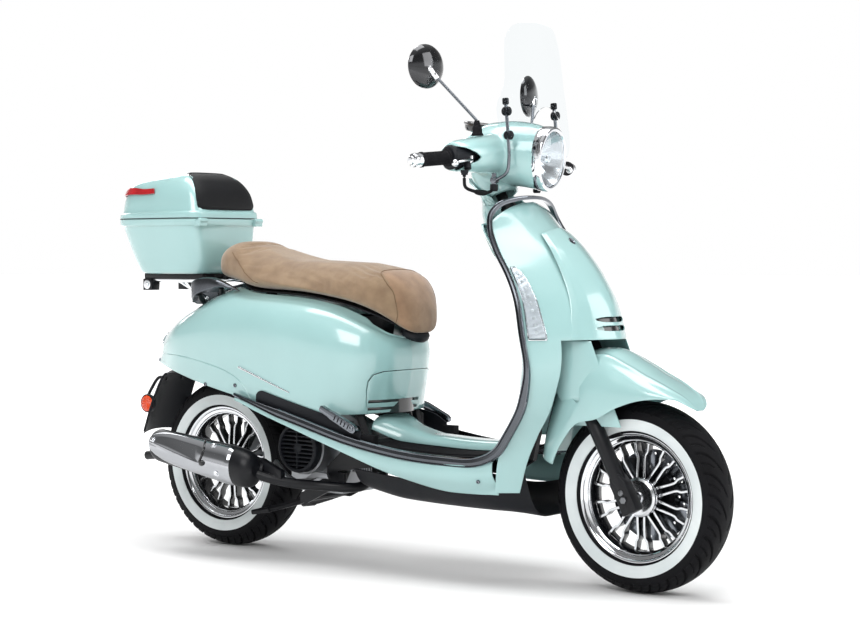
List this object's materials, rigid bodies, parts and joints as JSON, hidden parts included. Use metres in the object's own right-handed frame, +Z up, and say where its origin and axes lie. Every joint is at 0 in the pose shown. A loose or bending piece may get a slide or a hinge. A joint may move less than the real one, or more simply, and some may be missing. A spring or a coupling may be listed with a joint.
{
  "type": "moped scooter",
  "caption": "Step-through petrol scooter with leg shield, windscreen, round mirrors, long padded seat, rear luggage case, exposed silencer and whitewalled spoked wheels.",
  "frame": {"origin": "middle of the footprint at ground level: centre of the bounding box in X and Y, lowest point in Z", "axes": "+X forward, +Y to the rider's left, +Z up"},
  "size_m": [1.9058, 0.707, 1.3715],
  "materials": {
    "paint": "glossy mint green lacquer",
    "black_plastic": "fine-grained satin black",
    "black_paint": "satin black paint",
    "rubber": "matt",
    "tyre": "matt with white side bands",
    "chrome": "polished",
    "steel": "brushed",
    "alloy": "satin machined",
    "gunmetal": "polished dark metal",
    "suede": "matt tan suede",
    "clear": "clear",
    "red_lens": "glossy"
  },
  "bodies": {
    "chassis": {"leg_shield": "paint", "inner_shield": "paint", "horn_cover": "paint", "shield_trim": "chrome", "side_skirt_right": "paint", "side_skirt_left": "paint", "turn_signal_right": "clear", "turn_signal_left": "clear", "belly_pan": "black_plastic", "floorboard": "black_plastic", "floor_tunnel": "paint", "rear_cowl": "paint", "seat_pedestal": "paint", "tail_lamp": "red_lens", "topcase_base": "paint", "luggage_rack": "chrome", "grab_rail": "gunmetal", "frame": "black_paint", "fuel_tank": "black_plastic", "storage_bucket": "black_plastic"},
    "glovebox": {"glovebox_door": "paint"},
    "seat": {"seat_pad": "suede", "seat_base": "black_plastic"},
    "case_lid": {"topcase_lid": "paint", "backrest_pad": "black_plastic"},
    "steering": {"steering_stem": "black_paint", "handlebar": "steel", "headset_shell": "paint", "headlight": "chrome", "instrument_cluster": "black_plastic", "windscreen": "clear", "screen_rod_right": "chrome", "screen_rod_left": "chrome", "left_grip": "rubber", "brake_hose": "rubber", "front_fender": "paint"},
    "fork": {"fork_slider_right": "black_paint", "fork_slider_left": "black_paint", "front_caliper": "steel"},
    "front_wheel": {"front_rim": "alloy", "front_tyre": "tyre", "front_brake_disc": "steel"},
    "engine_unit": {"engine_case": "alloy", "fan_cover": "black_plastic", "exhaust": "black_paint", "heat_shield": "chrome", "rear_mudguard": "black_plastic"},
    "rear_wheel": {"rear_rim": "alloy", "rear_tyre": "tyre"},
    "damper": {"rear_damper_lower": "steel"},
    "damper_top": {"rear_damper_upper": "black_paint"},
    "throttle": {"throttle_grip": "rubber"},
    "lever_right": {"brake_lever_right": "alloy"},
    "lever_left": {"brake_lever_left": "alloy"},
    "mirror_r": {"mirror_right": "chrome"},
    "mirror_l": {"mirror_left": "chrome"},
    "kick": {"kick_lever": "steel"},
    "stand": {"centre_stand": "black_paint"},
    "peg_right": {"footpeg_right": "chrome"},
    "peg_left": {"footpeg_left": "chrome"}
  },
  "joints": [
    {"name": "steering_turn", "type": "hinge", "parent": "chassis", "child": "steering", "pos_m": [0.4563, 0, 0.6707], "axis": [-0.4648, 0, 0.8854], "range_deg": [-30, 30]},
    {"name": "fork_slide", "type": "slide", "parent": "steering", "child": "fork", "axis": [-0.4648, 0, 0.8854], "range_m": [-0.02, 0.055], "stiffness_N_per_m": 9000, "springref_m": -0.045},
    {"name": "front_wheel_spin", "type": "hinge", "parent": "fork", "child": "front_wheel", "pos_m": [0.7226, 0, 0.228], "axis": [0, 1, 0], "continuous": true},
    {"name": "engine_swing", "type": "hinge", "parent": "chassis", "child": "engine_unit", "pos_m": [-0.1674, 0, 0.232], "axis": [0, 1, 0], "range_deg": [-3, 5.5], "stiffness_Nm_per_rad": 2500, "springref_deg": -3.44},
    {"name": "rear_wheel_spin", "type": "hinge", "parent": "engine_unit", "child": "rear_wheel", "pos_m": [-0.5974, 0, 0.231], "axis": [0, 1, 0], "continuous": true},
    {"name": "damper_pivot", "type": "hinge", "parent": "engine_unit", "child": "damper", "pos_m": [-0.6174, 0.105, 0.318], "axis": [0, 1, 0], "range_deg": [-6.3, 3.5]},
    {"name": "damper_top_pivot", "type": "hinge", "parent": "chassis", "child": "damper_top", "pos_m": [-0.5774, 0.105, 0.604], "axis": [0, 1, 0], "range_deg": [-0.75, 0.42]},
    {"name": "seat_hinge", "type": "hinge", "parent": "chassis", "child": "seat", "pos_m": [0.0506, 0, 0.6], "axis": [0, 1, 0], "range_deg": [0, 72]},
    {"name": "case_lid_hinge", "type": "hinge", "parent": "chassis", "child": "case_lid", "pos_m": [-0.6104, 0, 0.903], "axis": [0, 1, 0], "range_deg": [0, 75]},
    {"name": "glovebox_hinge", "type": "hinge", "parent": "chassis", "child": "glovebox", "pos_m": [0.3817, -0.146, 0.835], "axis": [-0.5247, 0, 0.8513], "range_deg": [0, 70]},
    {"name": "throttle_twist", "type": "hinge", "parent": "steering", "child": "throttle", "pos_m": [0.3166, -0.232, 1.036], "axis": [-0.216, -0.9722, -0.09], "range_deg": [0, 70], "stiffness_Nm_per_rad": 0.25, "springref_deg": -17.19},
    {"name": "brake_lever_right_pull", "type": "hinge", "parent": "steering", "child": "lever_right", "pos_m": [0.3486, -0.186, 1.032], "axis": [0, 0, -1], "range_deg": [0, 9], "stiffness_Nm_per_rad": 2, "springref_deg": -5.73},
    {"name": "brake_lever_left_pull", "type": "hinge", "parent": "steering", "child": "lever_left", "pos_m": [0.3486, 0.186, 1.032], "axis": [0, 0, 1], "range_deg": [0, 9], "stiffness_Nm_per_rad": 2, "springref_deg": -5.73},
    {"name": "mirror_right_turn", "type": "hinge", "parent": "steering", "child": "mirror_r", "pos_m": [0.3206, -0.118, 1.096], "axis": [0, 0, 1], "range_deg": [-30, 30]},
    {"name": "mirror_left_turn", "type": "hinge", "parent": "steering", "child": "mirror_l", "pos_m": [0.3206, 0.118, 1.096], "axis": [0, 0, 1], "range_deg": [-30, 30]},
    {"name": "kick_start", "type": "hinge", "parent": "engine_unit", "child": "kick", "pos_m": [-0.4694, 0.146, 0.214], "axis": [0, 1, 0], "range_deg": [0, 60], "stiffness_Nm_per_rad": 3, "springref_deg": -28.65},
    {"name": "stand_fold", "type": "hinge", "parent": "chassis", "child": "stand", "pos_m": [-0.2674, 0, 0.158], "axis": [0, -1, 0], "range_deg": [0, 84]},
    {"name": "footpeg_right_fold", "type": "hinge", "parent": "chassis", "child": "peg_right", "pos_m": [-0.01121, -0.1975, 0.36485], "axis": [0.4226, 0, 0.9063], "range_deg": [0, 88]},
    {"name": "footpeg_left_fold", "type": "hinge", "parent": "chassis", "child": "peg_left", "pos_m": [-0.01121, 0.1975, 0.36485], "axis": [-0.4226, 0, -0.9063], "range_deg": [0, 88]}
  ],
  "couplings": [
    {"joint": "damper_pivot", "follows": "engine_swing", "ratio": -1.13},
    {"joint": "damper_top_pivot", "follows": "engine_swing", "ratio": -0.13}
  ]
}
